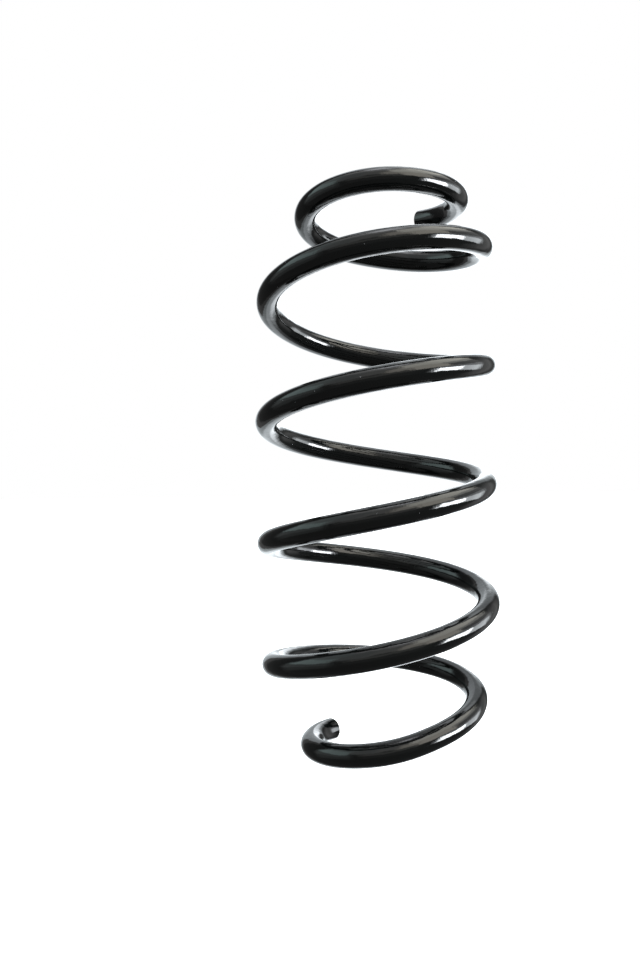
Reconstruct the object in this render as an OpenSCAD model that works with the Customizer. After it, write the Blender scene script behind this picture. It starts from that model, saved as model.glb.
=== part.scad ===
// Suspension coil spring: one round bar wound into a right-hand coil, with a smaller coil at each end
// that fits a spring seat. The bar is drawn in short stretches so that the coil can close up: the two
// end coils stay rigid, and every stretch between them comes down by its own share of the travel.
// Neighbouring stretches meet on an upright plane through the coil's axis, so they slide past each
// other without a gap or an overlap. Each stretch is one arc of a torus, trimmed by those planes.

/* [Bar] */
// Diameter of the bar
wire_d = 14; // [10:0.5:17]
// Turns of bar from one cut end to the other
total_turns = 5.77; // [5.2:0.01:6.5]
// Direction of the lower cut end seen from above, in degrees anticlockwise from the right
lower_cut_angle = 138; // [0:1:359]

/* [Main coils] */
// Mean diameter of the main coils, to the middle of the bar
coil_d = 134; // [110:1:170]
// Height gained in one turn of the main coils
coil_pitch = 73; // [50:0.5:95]
// Sideways bow of the coil's axis at half height, towards the left
bow_left = 4; // [0:0.5:10]
// Bow of the coil's axis at half height, towards the front
bow_front = 10; // [0:0.5:15]

/* [Lower end coil] */
// Mean diameter of the lower end coil
lower_d = 92; // [70:1:105]
// Turns of bar that lie on the lower seat and stay still
lower_seat_turns = 0.5; // [0.4:0.01:0.7]
// Turns from the lower cut end to where the coil starts to widen
lower_widen_start = 0.43; // [0.2:0.01:0.6]
// Turns over which it widens to the main coils
lower_widen_turns = 0.35; // [0.25:0.01:0.8]
// Height gained per turn at the lower cut end
lower_pitch = 31; // [10:1:45]
// Turns from the lower cut end to where the coil climbs as fast as the main coils
lower_rise_turns = 1.3; // [0.8:0.05:1.8]

/* [Upper end coil] */
// Mean diameter of the upper end coil
upper_d = 90; // [70:1:105]
// Turns of bar that lie under the upper seat and move as one
upper_seat_turns = 1; // [0.7:0.01:1.2]
// Turns from the upper cut end down to where the coil has its end diameter
upper_narrow_end = 0.88; // [0.6:0.01:1]
// Turns over which it narrows from the main coils
upper_narrow_turns = 0.37; // [0.25:0.01:0.8]
// Height gained per turn in the upper end coil
upper_pitch = 27; // [17:1:45]
// Turns from the upper cut end down to where the coil climbs only by upper_pitch
upper_rise_end = 0.74; // [0.4:0.01:1]
// Turns over which the climb slows down from that of the main coils
upper_rise_turns = 0.59; // [0.3:0.01:1]
// How far the last of the bar opens outwards, away from the axis
upper_tail_open = 5; // [0:0.5:10]
// Turns from the upper cut end down to where it starts to open
upper_tail_start = 0.36; // [0.2:0.01:0.5]
// Turns over which it opens
upper_tail_turns = 0.22; // [0.1:0.01:0.4]

/* [Hidden] */
// how many stretches the bar is drawn in
lower_count = 4;
active_count = 34;
upper_count = 8;

function two_digits(n) = n < 10 ? str("0", n) : str(n);
function lower_name(i) = str("lower_end_coil_", i);
function active_name(i) = str("active_coil_", two_digits(i));
function upper_name(i) = str("upper_end_coil_", i);

bar_color = [0.06, 0.06, 0.07];
end_color = [0.11, 0.11, 0.12];
bar_fn = 72;
trim_angle = 3;        // degrees by which a stretch runs past a trimming plane before it is cut
tangent_step = 0.001;  // in turns
search_steps = 576;    // points looked at for the lowest and the outermost parts of the bar

// places along the bar, in turns from the lower cut end
lower_seat_end = lower_seat_turns;
upper_seat_start = total_turns - upper_seat_turns;
upper_narrow_start = total_turns - upper_narrow_end - upper_narrow_turns;
upper_rise_start = total_turns - upper_rise_end - upper_rise_turns;

// a smooth step from 0 to 1, and the area under it
function ease(x) = let (c = min(max(x, 0), 1)) c * c * (3 - 2 * c);
function ease_area(x) = x <= 0 ? 0 : x >= 1 ? x - 0.5 : x * x * x * (1 - x / 2);

function unit(v) = v / norm(v);

// distance from the axis, and height climbed since the lower cut end
function radius_at(t) = coil_d / 2
    - (coil_d - lower_d) / 2 * (1 - ease((t - lower_widen_start) / lower_widen_turns))
    - (coil_d - upper_d) / 2 * ease((t - upper_narrow_start) / upper_narrow_turns)
    + upper_tail_open * ease((t - total_turns + upper_tail_start) / upper_tail_turns);
function climb_at(t) = coil_pitch * t
    - (coil_pitch - lower_pitch) * (t - lower_rise_turns * ease_area(t / lower_rise_turns))
    - (coil_pitch - upper_pitch) * upper_rise_turns * ease_area((t - upper_rise_start) / upper_rise_turns);
function angle_at(t) = lower_cut_angle + 360 * t;

// the axis bows most at half height, and each coil stays square to it
full_climb = climb_at(total_turns);
bow = [-bow_left, -bow_front];
function height_share(t) = 2 * climb_at(t) / full_climb - 1;
function bow_at(t) = bow * (1 - height_share(t) * height_share(t));
function bow_slope_at(t) = -4 * bow * height_share(t) / full_climb;

// middle of the bar before the coil is set down on its lowest point
function raw_point(t) = let (
    flat = radius_at(t) * [cos(angle_at(t)), sin(angle_at(t))],
    shift = bow_at(t))
    [flat.x + shift.x, flat.y + shift.y, climb_at(t) - bow_slope_at(t) * flat];
function tangent(t) = unit(raw_point(t + tangent_step) - raw_point(t - tangent_step));
function level_length(v) = norm([v.x, v.y]);

// underside of the bar at its lowest
lowest = min([for (i = [0 : search_steps]) let (t = i * total_turns / search_steps)
    raw_point(t).z - wire_d / 2 * level_length(tangent(t))]);
function point(t) = raw_point(t) - [0, 0, lowest];

// One arc of a torus through three points of the bar. It may run past each end by some degrees.
module bar_arc(a, m, b, before, after) {
    chord = b - a;
    half = m - a;
    normal = cross(half, chord);
    to_centre = ((chord * chord) * cross(normal, half) + (half * half) * cross(chord, normal))
        / (2 * (normal * normal));
    centre = a + to_centre;
    radius = norm(to_centre);
    side = -to_centre / radius;
    up = unit(normal);
    ahead = cross(up, side);
    sweep = 2 * asin(norm(chord) / (2 * radius));
    multmatrix([
        [side.x, ahead.x, up.x, centre.x],
        [side.y, ahead.y, up.y, centre.y],
        [side.z, ahead.z, up.z, centre.z],
        [0, 0, 0, 1]])
        rotate(-before)
            rotate_extrude(angle = sweep + before + after)
                translate([radius, 0])
                    circle(d = wire_d, $fn = bar_fn);
}

// Upright block between the trimming planes of two places on the bar. Both planes run through the axis.
module trim_block(from, to, start_slack, end_slack, low, high) {
    inner = radius_at((from + to) / 2) - 2 * wire_d;
    outer = coil_d;
    first = angle_at(from) - start_slack;
    last = angle_at(to) + end_slack;
    middle = (first + last) / 2;
    translate([0, 0, low])
        linear_extrude(height = high - low)
            polygon([
                bow_at(from) + inner * [cos(first), sin(first)],
                bow_at(from) + outer * [cos(first), sin(first)],
                bow_at((from + to) / 2) + outer * [cos(middle), sin(middle)],
                bow_at(to) + outer * [cos(last), sin(last)],
                bow_at(to) + inner * [cos(last), sin(last)]
            ]);
}

// The bar from one place to another, in turns. A cut end is square to the bar, and any other end is
// trimmed upright, where its neighbour starts.
module stretch(from, to) {
    at_start = from <= 0;
    at_end = to >= total_turns;
    a = point(from);
    b = point(to);
    intersection() {
        bar_arc(a, point((from + to) / 2), b, at_start ? 0 : trim_angle, at_end ? 0 : trim_angle);
        trim_block(
            from, to,
            at_start ? 2 * trim_angle : 0, at_end ? 2 * trim_angle : 0,
            a.z - 2 * wire_d, b.z + 2 * wire_d);
    }
}

function place(start, length, i, count) = start + length * i / count;

// Stretch i of the lower end coil, which lies in the lower seat.
module lower_end_coil(i) {
    color(end_color) stretch(
        place(0, lower_seat_end, i - 1, lower_count),
        place(0, lower_seat_end, i, lower_count));
}

// Stretch i of the coils that work, between the two end coils.
module active_coil(i) {
    active_turns = upper_seat_start - lower_seat_end;
    color(bar_color) stretch(
        place(lower_seat_end, active_turns, i - 1, active_count),
        place(lower_seat_end, active_turns, i, active_count));
}

// Stretch i of the upper end coil, which lies in the upper seat.
module upper_end_coil(i) {
    color(end_color) stretch(
        place(upper_seat_start, upper_seat_turns, i - 1, upper_count),
        place(upper_seat_start, upper_seat_turns, i, upper_count));
}

for (i = [1 : lower_count]) lower_end_coil(i);
for (i = [1 : active_count]) active_coil(i);
for (i = [1 : upper_count]) upper_end_coil(i);
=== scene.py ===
import math

import bpy
import numpy as np
from mathutils import Matrix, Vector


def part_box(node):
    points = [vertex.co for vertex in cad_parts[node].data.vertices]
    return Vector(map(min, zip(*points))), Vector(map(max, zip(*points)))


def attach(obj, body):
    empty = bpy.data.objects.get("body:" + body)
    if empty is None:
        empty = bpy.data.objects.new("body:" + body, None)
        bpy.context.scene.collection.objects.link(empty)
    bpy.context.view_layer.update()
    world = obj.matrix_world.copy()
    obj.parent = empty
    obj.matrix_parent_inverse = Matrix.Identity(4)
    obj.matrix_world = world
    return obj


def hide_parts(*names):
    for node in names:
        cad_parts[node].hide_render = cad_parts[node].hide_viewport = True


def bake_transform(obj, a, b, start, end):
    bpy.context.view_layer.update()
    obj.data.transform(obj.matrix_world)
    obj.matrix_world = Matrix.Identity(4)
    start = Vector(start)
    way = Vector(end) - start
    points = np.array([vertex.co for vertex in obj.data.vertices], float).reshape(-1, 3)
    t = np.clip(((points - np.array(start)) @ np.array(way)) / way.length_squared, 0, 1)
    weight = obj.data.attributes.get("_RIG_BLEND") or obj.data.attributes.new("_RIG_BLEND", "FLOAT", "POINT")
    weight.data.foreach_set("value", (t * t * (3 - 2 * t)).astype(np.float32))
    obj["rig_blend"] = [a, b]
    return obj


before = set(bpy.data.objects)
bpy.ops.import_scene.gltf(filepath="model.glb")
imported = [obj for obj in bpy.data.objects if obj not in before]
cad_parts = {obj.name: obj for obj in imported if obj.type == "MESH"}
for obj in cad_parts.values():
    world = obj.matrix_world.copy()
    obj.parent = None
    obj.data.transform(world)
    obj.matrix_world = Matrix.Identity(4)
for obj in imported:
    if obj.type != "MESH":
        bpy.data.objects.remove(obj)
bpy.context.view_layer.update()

# The coil, in metres, degrees and turns counted from the lower cut end. The same sizes as in the design.
coil = {
    "wire": 0.014,            # diameter of the bar
    "turns": 5.77,
    "cutAngle": 138,          # direction of the lower cut end, anticlockwise from +X
    "mean": 0.134,            # mean diameter of the main coils
    "pitch": 0.073,
    "bowLeft": 0.004,         # how far the axis bows at half height
    "bowFront": 0.010,
    "lowerMean": 0.092,
    "lowerSeat": 0.5,         # turns that lie still on the lower seat
    "lowerWidenStart": 0.43,
    "lowerWiden": 0.35,
    "lowerPitch": 0.031,
    "lowerRise": 1.3,
    "upperMean": 0.090,
    "upperSeat": 1.0,         # turns that move as one under the upper seat
    "upperNarrowEnd": 0.88,
    "upperNarrow": 0.37,
    "upperPitch": 0.027,
    "upperRiseEnd": 0.74,
    "upperRise": 0.59,
    "tailOpen": 0.005,        # how far the last of the bar opens outwards
    "tailStart": 0.36,
    "tailTurns": 0.22,
    "easeIn": 0.15,           # turns over which the travel fades out next to a seat
}

# How finely the bar is meshed, and the stretches it comes in.
barMesh = {
    "sides": 64,
    "endRings": 24,           # rings along one stretch of an end coil
    "activeRings": 36,
    "lowerStretches": 4,
    "activeStretches": 34,
    "upperStretches": 8,
    "searchPlaces": 577,      # places looked at for the lowest point of the bar
    "travelPlaces": 20001,    # places between the seats at which the travel is summed up
    "directionStep": 0.001,   # turns either way that give the bar's direction
    "joinWidth": 1e-5,        # turns within which a vertex lies on a join
}

# The two sheared ends of the bar.
cutEnd = {
    "rim": 0.0009,            # rounding of the edge
    "rimSteps": 4,
    "inset": 0.0004,          # flat border inside the rounding
    "crown": 0.0003,          # how far the middle stands proud
    "crownSteps": 2,
    "crownWidth": 0.25,       # width of each of its steps, in bar radii
    "reach": 1.2,             # how far back from the face its own vertices lie, in roundings of the edge
}


def ease(x):
    x = np.clip(x, 0, 1)
    return x * x * (3 - 2 * x)


def easeArea(x):
    x = np.asarray(x, float)
    return np.where(x <= 0, 0, np.where(x >= 1, x - 0.5, x ** 3 * (1 - x / 2)))


def radiusAt(t):
    narrowStart = coil["turns"] - coil["upperNarrowEnd"] - coil["upperNarrow"]
    lower = 1 - ease((t - coil["lowerWidenStart"]) / coil["lowerWiden"])
    upper = ease((t - narrowStart) / coil["upperNarrow"])
    small = (coil["mean"] - coil["lowerMean"]) * lower + (coil["mean"] - coil["upperMean"]) * upper
    tail = coil["tailOpen"] * ease((t - coil["turns"] + coil["tailStart"]) / coil["tailTurns"])
    return (coil["mean"] - small) / 2 + tail


def climbAt(t):
    riseStart = coil["turns"] - coil["upperRiseEnd"] - coil["upperRise"]
    slowStart = t - coil["lowerRise"] * easeArea(t / coil["lowerRise"])
    slowEnd = coil["upperRise"] * easeArea((t - riseStart) / coil["upperRise"])
    lost = (coil["pitch"] - coil["lowerPitch"]) * slowStart + (coil["pitch"] - coil["upperPitch"]) * slowEnd
    return coil["pitch"] * t - lost


# middle of the bar, before the coil is set down on its lowest point
def rawPoint(t):
    t = np.asarray(t, float)
    angle = np.radians(coil["cutAngle"] + 360 * t)
    flat = radiusAt(t)[:, None] * np.stack([np.cos(angle), np.sin(angle)], axis=1)
    fullClimb = climbAt(coil["turns"])
    share = (2 * climbAt(t) / fullClimb - 1)[:, None]
    bow = np.array([-coil["bowLeft"], -coil["bowFront"]])
    level = flat + bow * (1 - share ** 2)
    slope = -4 * bow * share / fullClimb
    height = climbAt(t) - (slope * flat).sum(axis=1)
    return np.column_stack([level, height])


def barDirection(t):
    step = barMesh["directionStep"]
    ahead = rawPoint(np.asarray(t) + step) - rawPoint(np.asarray(t) - step)
    return ahead / np.linalg.norm(ahead, axis=1)[:, None]


# sideways and upward directions of the bar's cross-section
def barSides(t):
    along = barDirection(t)
    across = np.cross(along, (0, 0, 1))
    across /= np.linalg.norm(across, axis=1)[:, None]
    return along, across, np.cross(across, along)


def barPoint(t):
    everywhere = np.linspace(0, coil["turns"], barMesh["searchPlaces"])
    level = np.hypot(*barDirection(everywhere)[:, :2].T)
    lowest = (rawPoint(everywhere)[:, 2] - coil["wire"] / 2 * level).min()
    return rawPoint(t) - (0, 0, lowest)


# Share of the travel that each place on the bar takes. A coil gives by the cube of its radius.
def travelShare(t):
    start, end = coil["lowerSeat"], coil["turns"] - coil["upperSeat"]
    places = np.linspace(start, end, barMesh["travelPlaces"])
    fadeIn = ease((places - start) / coil["easeIn"])
    fadeOut = ease((end - places) / coil["easeIn"])
    give = radiusAt(places) ** 3 * fadeIn * fadeOut
    total = np.concatenate([[0], np.cumsum(give[1:] + give[:-1])])
    return np.interp(t, places, total / total[-1])


# (name of the CAD node, first place, last place, rings) of every stretch, from the bottom up
def listStretches():
    seatEnd, seatStart = coil["lowerSeat"], coil["turns"] - coil["upperSeat"]
    groups = [
        ("lower_end_coil_{}", barMesh["lowerStretches"], 0, seatEnd, barMesh["endRings"]),
        ("active_coil_{:02d}", barMesh["activeStretches"], seatEnd, seatStart, barMesh["activeRings"]),
        ("upper_end_coil_{}", barMesh["upperStretches"], seatStart, coil["turns"], barMesh["endRings"]),
    ]
    stretches = []
    for name, count, start, end, rings in groups:
        edges = np.linspace(start, end, count + 1)
        for i in range(count):
            stretches.append((name.format(i + 1), edges[i], edges[i + 1], rings))
    return stretches


def selectNothing():
    bpy.ops.object.select_all(action="DESELECT")


def editMode(obj, kind="FACE"):
    selectNothing()
    obj.select_set(True)
    bpy.context.view_layer.objects.active = obj
    bpy.ops.object.mode_set(mode="EDIT")
    bpy.ops.mesh.select_mode(type=kind)
    bpy.ops.mesh.select_all(action="DESELECT")


def objectMode():
    bpy.ops.object.mode_set(mode="OBJECT")


def readVectors(items, field):
    values = np.zeros(len(items) * 3, np.float32)
    items.foreach_get(field, values)
    return values.reshape(-1, 3).astype(float)


def readValues(items):
    values = np.zeros(len(items), np.float32)
    items.foreach_get("value", values)
    return values.astype(float)


def writeAttribute(mesh, name, kind, values):
    attribute = mesh.attributes.get(name) or mesh.attributes.new(name, kind, "POINT")
    field = "vector" if kind == "FLOAT_VECTOR" else "value"
    attribute.data.foreach_set(field, np.asarray(values, np.float32).ravel())


# a tube along the coil's line, open at both ends
def drawBar(places):
    selectNothing()
    bpy.ops.curve.primitive_nurbs_path_add(location=(0, 0, 0))
    bar = bpy.context.object
    bar.name = "bar"
    bpy.ops.object.mode_set(mode="EDIT")
    bpy.ops.curve.select_all(action="SELECT")
    bpy.ops.curve.spline_type_set(type="POLY")
    objectMode()
    points = bar.data.splines[0].points
    points.add(len(places) - len(points))
    line = np.column_stack([barPoint(places), np.ones(len(places))])
    points.foreach_set("co", line.astype(np.float32).ravel())
    bar.data.dimensions = "3D"
    bar.data.twist_mode = "Z_UP"
    bar.data.bevel_depth = coil["wire"] / 2
    bar.data.bevel_resolution = barMesh["sides"] // 2 - 2
    bar.data.use_fill_caps = False
    bpy.ops.object.convert(target="MESH")
    bar = bpy.context.object
    editMode(bar)
    bpy.ops.mesh.select_all(action="SELECT")
    bpy.ops.mesh.normals_make_consistent(inside=False)
    bpy.ops.mesh.select_all(action="DESELECT")
    objectMode()
    bpy.ops.object.shade_smooth()
    return bar


# Writes where each vertex is on the bar: its place in turns, and its spot on the bar laid out straight.
def markPlaces(bar, places):
    sides = barMesh["sides"]
    where = np.repeat(places, sides)
    steps = np.linalg.norm(np.diff(barPoint(places), axis=0), axis=1)
    along = np.repeat(np.concatenate([[0], np.cumsum(steps)]), sides)
    out = readVectors(bar.data.vertices, "co") - barPoint(where)
    _, across, upward = barSides(where)
    straight = np.column_stack([along, (out * across).sum(axis=1), (out * upward).sum(axis=1)])
    writeAttribute(bar.data, "turnPlace", "FLOAT", where)
    writeAttribute(bar.data, "barPlace", "FLOAT_VECTOR", straight)
    print("bar: length", round(float(along[-1]), 4), "m,", len(where), "points, radius",
          round(float(np.linalg.norm(out, axis=1).max()), 5), "m")


# Closes one end of the bar with a sheared face: rounded rim, flat border and a slight crown.
def closeEnd(bar, ring, outward):
    sides = barMesh["sides"]
    edges = np.zeros(len(bar.data.edges) * 2, int)
    bar.data.edges.foreach_get("vertices", edges)
    onRing = (edges.reshape(-1, 2) // sides == ring).all(axis=1)
    editMode(bar, "EDGE")
    objectMode()
    bar.data.edges.foreach_set("select", onRing)
    bpy.ops.object.mode_set(mode="EDIT")
    bpy.ops.mesh.edge_face_add()
    bpy.ops.mesh.bevel(offset=cutEnd["rim"], segments=cutEnd["rimSteps"], affect="EDGES", profile=0.5)
    objectMode()
    cap = max(bar.data.polygons, key=lambda face: len(face.vertices)).index
    editMode(bar)
    objectMode()
    bar.data.polygons[cap].select = True
    bpy.ops.object.mode_set(mode="EDIT")
    bpy.ops.mesh.inset(thickness=cutEnd["inset"])
    for _ in range(cutEnd["crownSteps"]):
        bpy.ops.mesh.inset(thickness=coil["wire"] / 2 * cutEnd["crownWidth"])
        bpy.ops.transform.translate(value=tuple(outward * cutEnd["crown"] / cutEnd["crownSteps"]))
    bpy.ops.mesh.poke()
    objectMode()


# The new vertices of a closed end get their spot on the straight bar too.
def markEnd(bar, t):
    middle = barPoint(np.array([t]))[0]
    ahead, across, upward = (way[0] for way in barSides(np.array([t])))
    out = readVectors(bar.data.vertices, "co") - middle
    along = out @ ahead
    near = (np.linalg.norm(out, axis=1) < coil["wire"]) & (np.abs(along) < cutEnd["rim"] * cutEnd["reach"])
    turn = readValues(bar.data.attributes["turnPlace"].data)
    straight = readVectors(bar.data.attributes["barPlace"].data, "vector")
    turn[near] = t
    start = 0 if t == 0 else straight[:, 0].max()
    straight[near] = np.column_stack([start + along, out @ across, out @ upward])[near]
    writeAttribute(bar.data, "turnPlace", "FLOAT", turn)
    writeAttribute(bar.data, "barPlace", "FLOAT_VECTOR", straight)


def makeBar():
    stretches = listStretches()
    places = [np.linspace(start, end, rings, endpoint=False) for _, start, end, rings in stretches]
    places = np.concatenate(places + [[coil["turns"]]])
    bar = drawBar(places)
    markPlaces(bar, places)
    ends = barDirection(np.array([0, coil["turns"]]))
    closeEnd(bar, len(places) - 1, ends[1])
    closeEnd(bar, 0, -ends[0])
    markEnd(bar, 0)
    markEnd(bar, coil["turns"])
    bar.data.materials.append(makePaint())
    bar.data.materials.append(makeShearedPaint())
    paintEnds(bar)
    writeAttribute(bar.data, "ownNormal", "FLOAT_VECTOR", readVectors(bar.data.vertex_normals, "vector"))
    return bar


# the flat of each cut end takes the sheared finish
def paintEnds(bar):
    places = np.array([0, coil["turns"]])
    middles, ways = barPoint(places), barDirection(places)
    for face in bar.data.polygons:
        for middle, way in zip(middles, ways):
            out = np.array(face.center) - middle
            if np.linalg.norm(out) < coil["wire"] / 2 and abs(out @ way) < cutEnd["rim"] / 2:
                face.material_index = 1


# Cuts the bar at every join and gives each stretch the name of the node that it stands for.
def splitBar(bar):
    stretches = listStretches()
    turn = readValues(bar.data.attributes["turnPlace"].data)
    edges = np.zeros(len(bar.data.edges) * 2, int)
    bar.data.edges.foreach_get("vertices", edges)
    turns = turn[edges.reshape(-1, 2)]
    picked = np.zeros(len(turns), bool)
    for _, start, _, _ in stretches[1:]:
        picked |= (np.abs(turns - start) < barMesh["joinWidth"]).all(axis=1)
    editMode(bar, "EDGE")
    objectMode()
    bar.data.edges.foreach_set("select", picked)
    bpy.ops.object.mode_set(mode="EDIT")
    bpy.ops.mesh.edge_split(type="EDGE")
    bpy.ops.mesh.select_all(action="SELECT")
    bpy.ops.mesh.separate(type="LOOSE")
    objectMode()
    parts = list(bpy.context.selected_objects)
    parts.sort(key=lambda part: readValues(part.data.attributes["turnPlace"].data).mean())
    for part, (name, _, _, _) in zip(parts, stretches, strict=True):
        part.name = name + "_bar"
        part.data.name = part.name
        closeStretch(part)
    return parts


# Closes the hidden ends of a stretch and gives its round face the whole bar's shading.
def closeStretch(part):
    mesh = part.data
    before = len(mesh.polygons)
    editMode(part, "EDGE")
    bpy.ops.mesh.select_all(action="SELECT")
    bpy.ops.mesh.fill_holes(sides=0)
    objectMode()
    corners = np.zeros(len(mesh.loops), int)
    mesh.loops.foreach_get("vertex_index", corners)
    normals = readVectors(mesh.attributes["ownNormal"].data, "vector")[corners]
    for face in mesh.polygons[before:]:
        face.use_smooth = False
        face.material_index = 0
        for corner in face.loop_indices:
            normals[corner] = face.normal
            mesh.edges[mesh.loops[corner].edge_index].use_edge_sharp = True
    mesh.normals_split_custom_set(normals.tolist())
    mesh.attributes.remove(mesh.attributes["ownNormal"])


# The end coils move with their seats. A stretch between them takes its share of the travel, vertex by
# vertex. Gives back how far the stretch is from its node's box.
def fitStretch(part):
    node = part.name.removesuffix("_bar")
    if node.startswith("active"):
        ends = barPoint(np.array([coil["lowerSeat"], coil["turns"] - coil["upperSeat"]]))
        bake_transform(part, "lower_end_coil", "upper_end_coil", start=tuple(ends[0]), end=tuple(ends[1]))
        turn = readValues(part.data.attributes["turnPlace"].data)
        writeAttribute(part.data, "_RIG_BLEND", "FLOAT", travelShare(turn))
    else:
        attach(part, node[:node.rindex("_")])
    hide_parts(node)
    low, high = (np.array(corner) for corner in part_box(node))
    spots = readVectors(part.data.vertices, "co")
    return max(np.abs(spots.min(axis=0) - low).max(), np.abs(spots.max(axis=0) - high).max())


# Nodes and links by hand, the short way.
def addNode(tree, kind, inputs=None, **settings):
    node = tree.nodes.new(kind)
    for name, value in settings.items():
        setattr(node, name, value)
    for name, value in (inputs or {}).items():
        socket = node.inputs[name]
        if isinstance(value, bpy.types.NodeSocket):
            tree.links.new(value, socket)
        else:
            socket.default_value = value
    return node


def addMath(tree, operation, a, b=0.5, clamp=False):
    return addNode(tree, "ShaderNodeMath", {0: a, 1: b}, operation=operation, use_clamp=clamp).outputs[0]


def addScaled(tree, vector, scale):
    return addNode(tree, "ShaderNodeVectorMath", {0: vector, 1: scale}, operation="MULTIPLY").outputs[0]


# 0 at the first value and 1 at the second, with a soft run between
def addRamp(tree, value, start, end, low=0, high=1):
    inputs = {"Value": value, "From Min": start, "From Max": end, "To Min": low, "To Max": high}
    return addNode(tree, "ShaderNodeMapRange", inputs, interpolation_type="SMOOTHSTEP").outputs["Result"]


def newGroup(name, inputs, outputs):
    group = bpy.data.node_groups.new(name, "ShaderNodeTree")
    for label, kind, value in inputs:
        socket = group.interface.new_socket(label, in_out="INPUT", socket_type="NodeSocket" + kind)
        if value is not None:
            socket.default_value = value
    for label, kind in outputs:
        group.interface.new_socket(label, in_out="OUTPUT", socket_type="NodeSocket" + kind)
    return group, group.nodes.new("NodeGroupInput"), group.nodes.new("NodeGroupOutput")


def useGroup(tree, group, inputs):
    node = addNode(tree, "ShaderNodeGroup", node_tree=group)
    for name, value in inputs.items():
        if isinstance(value, bpy.types.NodeSocket):
            tree.links.new(value, node.inputs[name])
        else:
            node.inputs[name].default_value = value
    return node


# Gloss black over the peened bar.
paint = {
    "colour": (0.0024, 0.0031, 0.0031, 1),
    "rubbedColour": (0.035, 0.034, 0.032, 1),
    "speckColour": (0.20, 0.21, 0.23, 1),
    "roughness": 0.055,
    "roughnessSpread": 0.06,
    "rubbedRoughness": 0.45,
    "dimpleSize": 0.0045,
    "dimpleDepth": 1.6,       # in depth units
    "peelSize": 0.0012,
    "peelDepth": 0.35,
    "speckSpacing": 0.0042,
    "speckSize": 0.10,
    "speckRare": 0.62,
    "rub": 0.6,
    "depthUnit": 0.0001,
    "dimpleStretch": (0.6, 1, 1),  # below 1 along the bar draws the dimples out
    "cloudScale": 34.0,       # of the slow changes in gloss
}


# Dimples that shot peening leaves, softened by the paint, with the paint's own peel on top.
def makePeenedGroup():
    inputs = [("Place", "Vector", None), ("Dimple Size", "Float", 0.005), ("Dimple Depth", "Float", 0.3),
              ("Peel Size", "Float", 0.0014), ("Peel Depth", "Float", 0.03)]
    group, given, out = newGroup("peenedPaint", inputs, [("Height", "Float"), ("Roughness Shift", "Float")])
    place = given.outputs["Place"]
    dimpleScale = addMath(group, "DIVIDE", 1, given.outputs["Dimple Size"])
    peelScale = addMath(group, "DIVIDE", 1, given.outputs["Peel Size"])
    drawn = addScaled(group, place, paint["dimpleStretch"])
    dimple = addNode(group, "ShaderNodeTexNoise", {"Vector": drawn, "Scale": dimpleScale, "Detail": 1.5,
                                                   "Roughness": 0.45})
    peel = addNode(group, "ShaderNodeTexNoise", {"Vector": place, "Scale": peelScale, "Detail": 2,
                                                 "Roughness": 0.5})
    high = addMath(group, "MULTIPLY", dimple.outputs["Fac"], given.outputs["Dimple Depth"])
    fine = addMath(group, "MULTIPLY", peel.outputs["Fac"], given.outputs["Peel Depth"])
    cloud = addNode(group, "ShaderNodeTexNoise", {"Vector": place, "Scale": paint["cloudScale"],
                                                  "Detail": 3})
    group.links.new(addMath(group, "ADD", high, fine), out.inputs["Height"])
    group.links.new(addMath(group, "SUBTRACT", cloud.outputs["Fac"], 0.5), out.inputs["Roughness Shift"])
    return group


# Specks of dust and grit that dried into the paint.
def makeSpeckGroup():
    inputs = [("Place", "Vector", None), ("Spacing", "Float", 0.004), ("Size", "Float", 0.08),
              ("Rare", "Float", 0.7)]
    group, given, out = newGroup("paintSpecks", inputs, [("Mask", "Float")])
    scale = addMath(group, "DIVIDE", 1, given.outputs["Spacing"])
    cells = addNode(group, "ShaderNodeTexVoronoi", {"Vector": given.outputs["Place"], "Scale": scale})
    lot = addNode(group, "ShaderNodeSeparateColor", {"Color": cells.outputs["Color"]})
    size = addMath(group, "MULTIPLY", given.outputs["Size"], lot.outputs["Green"])
    near = addMath(group, "LESS_THAN", cells.outputs["Distance"], size)
    chosen = addMath(group, "GREATER_THAN", lot.outputs["Red"], given.outputs["Rare"])
    group.links.new(addMath(group, "MULTIPLY", near, chosen), out.inputs["Mask"])
    return group


# Rubbed places where the bar lies on a seat. Depths are in bar radii, lengths in turns.
seatRub = {
    "edge": 0.80,
    "full": 0.97,
    "lowerFade": 0.12,        # past the end of the lower seat
    "lowerFull": 0.1,         # before the end of it
    "upperFade": 0.05,        # before the start of the upper seat
    "upperFull": 0.2,         # past the start of it
    "streaks": (60, 900, 900),
    "tornFrom": 0.42,
    "tornFull": 0.62,
}


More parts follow.
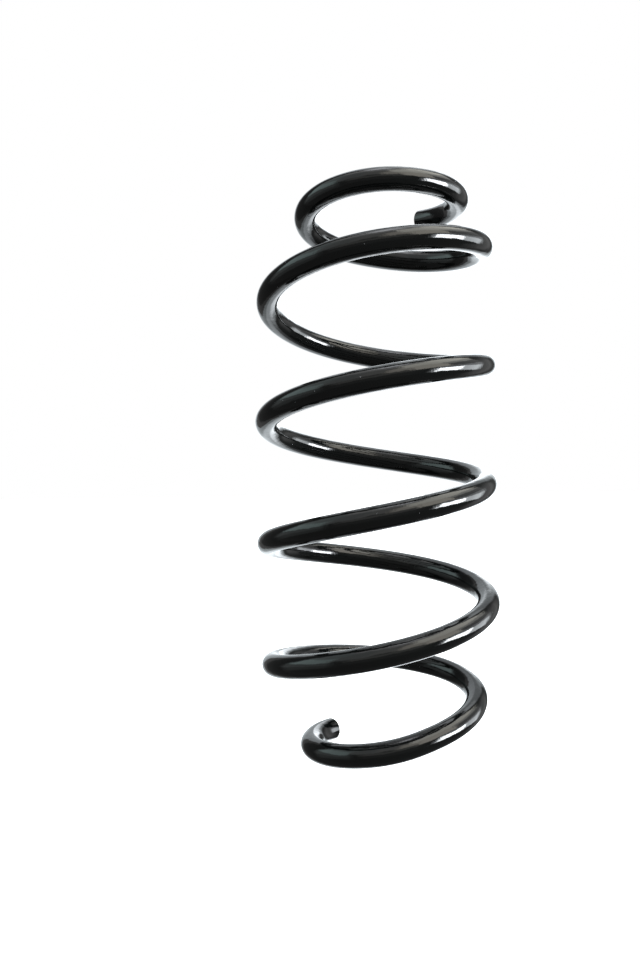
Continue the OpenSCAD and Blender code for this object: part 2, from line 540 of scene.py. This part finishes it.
# The rubbing is under the lower end coil and on top of the upper one.
def makeRubGroup():
    inputs = [("Place", "Vector", None), ("Turn", "Float", 0)]
    group, given, out = newGroup("seatRub", inputs, [("Mask", "Float")])
    spot = addNode(group, "ShaderNodeSeparateXYZ", {"Vector": given.outputs["Place"]})
    radius = coil["wire"] / 2
    under = addRamp(group, spot.outputs["Z"], -seatRub["edge"] * radius, -seatRub["full"] * radius)
    above = addRamp(group, spot.outputs["Z"], seatRub["edge"] * radius, seatRub["full"] * radius)
    seatEnd, seatStart = coil["lowerSeat"], coil["turns"] - coil["upperSeat"]
    turn = given.outputs["Turn"]
    low = addRamp(group, turn, seatEnd + seatRub["lowerFade"], seatEnd - seatRub["lowerFull"])
    high = addRamp(group, turn, seatStart - seatRub["upperFade"], seatStart + seatRub["upperFull"])
    lowRub = addMath(group, "MULTIPLY", under, low)
    highRub = addMath(group, "MULTIPLY", above, high)
    both = addMath(group, "ADD", lowRub, highRub)
    long = addScaled(group, given.outputs["Place"], seatRub["streaks"])
    streak = addNode(group, "ShaderNodeTexNoise", {"Vector": long, "Scale": 1.0, "Detail": 4})
    torn = addRamp(group, streak.outputs["Fac"], seatRub["tornFrom"], seatRub["tornFull"])
    group.links.new(addMath(group, "MULTIPLY", both, torn), out.inputs["Mask"])
    return group


def newMaterial(name):
    material = bpy.data.materials.new(name)
    material.use_nodes = True
    tree = material.node_tree
    tree.nodes.clear()
    shader = addNode(tree, "ShaderNodeBsdfPrincipled")
    addNode(tree, "ShaderNodeOutputMaterial", {"Surface": shader.outputs["BSDF"]})
    return material, tree, shader


def readPlace(tree):
    place = addNode(tree, "ShaderNodeAttribute", attribute_type="GEOMETRY", attribute_name="barPlace")
    turn = addNode(tree, "ShaderNodeAttribute", attribute_type="GEOMETRY", attribute_name="turnPlace")
    return place.outputs["Vector"], turn.outputs["Fac"]


groups = {}


def makeGroups():
    groups["peened"] = makePeenedGroup()
    groups["specks"] = makeSpeckGroup()
    groups["rub"] = makeRubGroup()


def mixColour(tree, share, a, b):
    mix = addNode(tree, "ShaderNodeMix", data_type="RGBA")  # its colours are inputs 6 and 7, output 2
    for index, value in ((0, share), (6, a), (7, b)):
        if isinstance(value, bpy.types.NodeSocket):
            tree.links.new(value, mix.inputs[index])
        else:
            mix.inputs[index].default_value = value
    return mix.outputs[2]


def makePaint():
    material, tree, shader = newMaterial("glossBlackPaint")
    place, turn = readPlace(tree)
    peened = useGroup(tree, groups["peened"], {"Place": place, "Dimple Size": paint["dimpleSize"],
                                               "Dimple Depth": paint["dimpleDepth"],
                                               "Peel Size": paint["peelSize"],
                                               "Peel Depth": paint["peelDepth"]})
    specks = useGroup(tree, groups["specks"], {"Place": place, "Spacing": paint["speckSpacing"],
                                               "Size": paint["speckSize"], "Rare": paint["speckRare"]})
    rub = useGroup(tree, groups["rub"], {"Place": place, "Turn": turn})
    worn = addMath(tree, "MULTIPLY", rub.outputs["Mask"], paint["rub"])
    colour = mixColour(tree, worn, paint["colour"], paint["rubbedColour"])
    colour = mixColour(tree, specks.outputs["Mask"], colour, paint["speckColour"])
    shift = addMath(tree, "MULTIPLY", peened.outputs["Roughness Shift"], paint["roughnessSpread"])
    plain = addMath(tree, "ADD", shift, paint["roughness"])
    dull = addMath(tree, "MULTIPLY", worn, paint["rubbedRoughness"])
    bump = addNode(tree, "ShaderNodeBump", {"Height": peened.outputs["Height"], "Strength": 1.0,
                                            "Distance": paint["depthUnit"]})
    tree.links.new(colour, shader.inputs["Base Color"])
    tree.links.new(addMath(tree, "ADD", plain, dull, clamp=True), shader.inputs["Roughness"])
    tree.links.new(bump.outputs["Normal"], shader.inputs["Normal"])
    return material


# Paint over a sheared end: duller, with the marks of the blade.
shearedPaint = {
    "colour": (0.010, 0.010, 0.011, 1),
    "bareColour": (0.10, 0.10, 0.105, 1),
    "roughness": 0.38,
    "bareRoughness": 0.5,
    "markSize": 0.0011,
    "markDepth": 0.9,
    "markUnit": 0.00025,
    "markStretch": (1, 0.16, 1),
    "grainScale": 1500.0,
    "grainDepth": 0.3,        # next to a mark's
    "bareFrom": 0.60,         # grain at which bare steel begins, and is all that shows
    "bareFull": 0.72,
}


def makeShearedPaint():
    material, tree, shader = newMaterial("shearedEndPaint")
    place, _ = readPlace(tree)
    marks = addScaled(tree, place, shearedPaint["markStretch"])
    markScale = 1 / shearedPaint["markSize"]
    lines = addNode(tree, "ShaderNodeTexNoise", {"Vector": marks, "Scale": markScale, "Detail": 3})
    grain = addNode(tree, "ShaderNodeTexNoise", {"Vector": place, "Scale": shearedPaint["grainScale"],
                                                 "Detail": 4})
    bare = addRamp(tree, grain.outputs["Fac"], shearedPaint["bareFrom"], shearedPaint["bareFull"])
    fine = addMath(tree, "MULTIPLY", grain.outputs["Fac"], shearedPaint["grainDepth"])
    height = addMath(tree, "ADD", lines.outputs["Fac"], fine)
    bump = addNode(tree, "ShaderNodeBump", {"Height": height, "Strength": shearedPaint["markDepth"],
                                            "Distance": shearedPaint["markUnit"]})
    rough = addRamp(tree, bare, 0, 1, shearedPaint["roughness"], shearedPaint["bareRoughness"])
    colour = mixColour(tree, bare, shearedPaint["colour"], shearedPaint["bareColour"])
    tree.links.new(colour, shader.inputs["Base Color"])
    tree.links.new(rough, shader.inputs["Roughness"])
    tree.links.new(bump.outputs["Normal"], shader.inputs["Normal"])
    return material


# Soft studio light, as cards all round: middle and half width of each in degrees (azimuth from the
# front, then height), how soft its edges are, colour and brightness. Later cards lie over earlier ones.
studio = {
    "base": (0.13, 0.13, 0.13),
    "cards": [
        # azimuth, half, soft, height, half, soft, colour
        (0, 181, 1, 78, 17, 8, (1.4, 1.4, 1.4)),
        (0, 181, 1, 90, 9, 5, (4.0, 4.1, 4.3)),
        (163, 18, 5, 56, 13, 5, (1.70, 1.80, 1.85)),
        (165, 18, 5, 36, 10, 5, (0.70, 0.75, 0.78)),
        (-163, 16, 3, 45, 30, 12, (1.03, 1.10, 1.15)),
        (168, 14, 4, -10, 38, 8, (1.22, 1.31, 1.36)),
        (174, 11, 4, -4, 32, 7, (2.95, 3.12, 3.25)),
        (167, 17, 5, -52, 7, 6, (0.43, 0.45, 0.47)),
        (-167, 14, 2, 2, 22, 10, (0.84, 0.91, 0.95)),
        (-167, 14, 2, -35, 24, 8, (0.80, 0.87, 0.90)),
        (-174, 9, 4, -28, 30, 8, (1.52, 1.63, 1.70)),
        (-147, 6, 1.5, 0, 62, 8, (0.22, 0.22, 0.22)),
        (-125, 16, 2, 0, 80, 8, (0.09, 0.09, 0.09)),
        (-85, 28, 6, 50, 13, 6, (0.75, 0.85, 0.85)),
        (-82, 25, 6, 27, 13, 6, (1.35, 1.7, 1.68)),
        (-80, 28, 8, 4, 9, 5, (0.5, 0.54, 0.54)),
        (-76, 26, 10, -10, 9, 6, (0.3, 0.32, 0.32)),
        (-40, 22, 6, 45, 22, 8, (0.72, 0.76, 0.76)),
        (-10, 16, 8, 47, 16, 8, (0.9, 0.9, 0.88)),
        (24, 18, 8, 40, 16, 7, (2.2, 2.1, 1.9)),
        (0, 40, 10, 17, 8, 5, (0.55, 0.55, 0.53)),
        (0, 40, 10, -3, 10, 6, (0.2, 0.2, 0.2)),
        (128, 13, 6, 0, 30, 10, (0.45, 0.45, 0.45)),
        (76, 52, 8, 58, 14, 5, (3.9, 3.85, 3.5)),
        (56, 20, 5, 32, 14, 4, (3.4, 3.25, 2.9)),
        (98, 23, 4, 41, 6, 4, (2.0, 2.0, 1.9)),
        (98, 22, 3, 30, 7, 3, (0.7, 0.7, 0.7)),
        (90, 30, 5, 15, 6, 3, (1.5, 1.55, 1.6)),
        (86, 30, 6, -1, 12, 3, (5.5, 5.8, 6.0)),
        (74, 15, 3, -1, 10, 1.5, (30, 31, 32)),
        (0, 181, 1, -90, 25, 8, (0.13, 0.13, 0.13)),
    ],
    "background": (1, 1, 1, 1),
}


def makeStudio():
    world = bpy.data.worlds.new("studio")
    bpy.context.scene.world = world
    world.use_nodes = True
    tree = world.node_tree
    tree.nodes.clear()
    way = addNode(tree, "ShaderNodeTexCoord").outputs["Generated"]
    parts = addNode(tree, "ShaderNodeSeparateXYZ", {"Vector": way}).outputs
    back = addMath(tree, "MULTIPLY", parts["Y"], -1)
    azimuth = addMath(tree, "DEGREES", addMath(tree, "ARCTAN2", parts["X"], back))
    height = addMath(tree, "DEGREES", addMath(tree, "ARCSINE", parts["Z"]))
    light = (*studio["base"], 1)
    for middle, half, soft, level, halfLevel, softLevel, colour in studio["cards"]:
        turned = addMath(tree, "SUBTRACT", azimuth, middle)
        turned = addNode(tree, "ShaderNodeMath", {0: turned, 1: 180, 2: -180}, operation="WRAP").outputs[0]
        across = addRamp(tree, addMath(tree, "ABSOLUTE", turned), half + soft, half - soft)
        off = addMath(tree, "ABSOLUTE", addMath(tree, "SUBTRACT", height, level))
        upward = addRamp(tree, off, halfLevel + softLevel, halfLevel - softLevel)
        light = mixColour(tree, addMath(tree, "MULTIPLY", across, upward), light, (*colour, 1))
    seen = addNode(tree, "ShaderNodeLightPath").outputs["Is Camera Ray"]
    light = mixColour(tree, seen, light, studio["background"])
    shine = addNode(tree, "ShaderNodeBackground", {"Color": light, "Strength": 1.0})
    addNode(tree, "ShaderNodeOutputWorld", {"Surface": shine.outputs[0]})


# A plain white floor, big enough to pass out of every view.
floorPlane = {
    "size": 60,
    "below": 0.0002,          # how far it lies under the coil
}


def makeFloor():
    selectNothing()
    bpy.ops.mesh.primitive_plane_add(size=floorPlane["size"], location=(0, 0, -floorPlane["below"]))
    floor = bpy.context.object
    floor.name = "floor"
    material, _, shader = newMaterial("whiteFloor")
    shader.inputs["Base Color"].default_value = (0.9, 0.9, 0.9, 1)
    shader.inputs["Roughness"].default_value = 0.8
    shader.inputs["Emission Color"].default_value = (1, 1, 1, 1)
    shader.inputs["Emission Strength"].default_value = 1.0
    floor.data.materials.append(material)
    floor.visible_glossy = False
    floor.visible_diffuse = False


# The camera stands level in front, a little left of the middle.
view = {
    "place": (-0.01264, -0.58740, 0.16472),
    "yaw": 0.0447,
    "pitch": 0.0118,
    "roll": 0.0136,
    "lens": 34.91,            # in millimetres, as is the sensor's width
    "sensor": 36,
    "nearest": 0.01,
}


def makeCamera():
    camera = bpy.data.objects.new("camera", bpy.data.cameras.new("camera"))
    bpy.context.scene.collection.objects.link(camera)
    camera.data.lens = view["lens"]
    camera.data.sensor_width = view["sensor"]
    camera.data.clip_start = view["nearest"]
    turned = Matrix.Rotation(view["yaw"], 4, "Z") @ Matrix.Rotation(view["pitch"], 4, "X")
    turned = turned @ Matrix.Rotation(view["roll"], 4, "Y") @ Matrix.Rotation(math.pi / 2, 4, "X")
    camera.matrix_world = Matrix.Translation(view["place"]) @ turned
    bpy.context.scene.camera = camera


makeGroups()
bar = makeBar()
parts = splitBar(bar)
print("bar: cut into", len(parts), "stretches")
offBy = [fitStretch(part) for part in parts]
print("bar: largest difference from the CAD boxes", round(max(offBy) * 1000, 3), "mm")
makeStudio()
makeFloor()
makeCamera()
bpy.context.scene.view_settings.view_transform = "Standard"
print("studio: light, floor and camera in place")
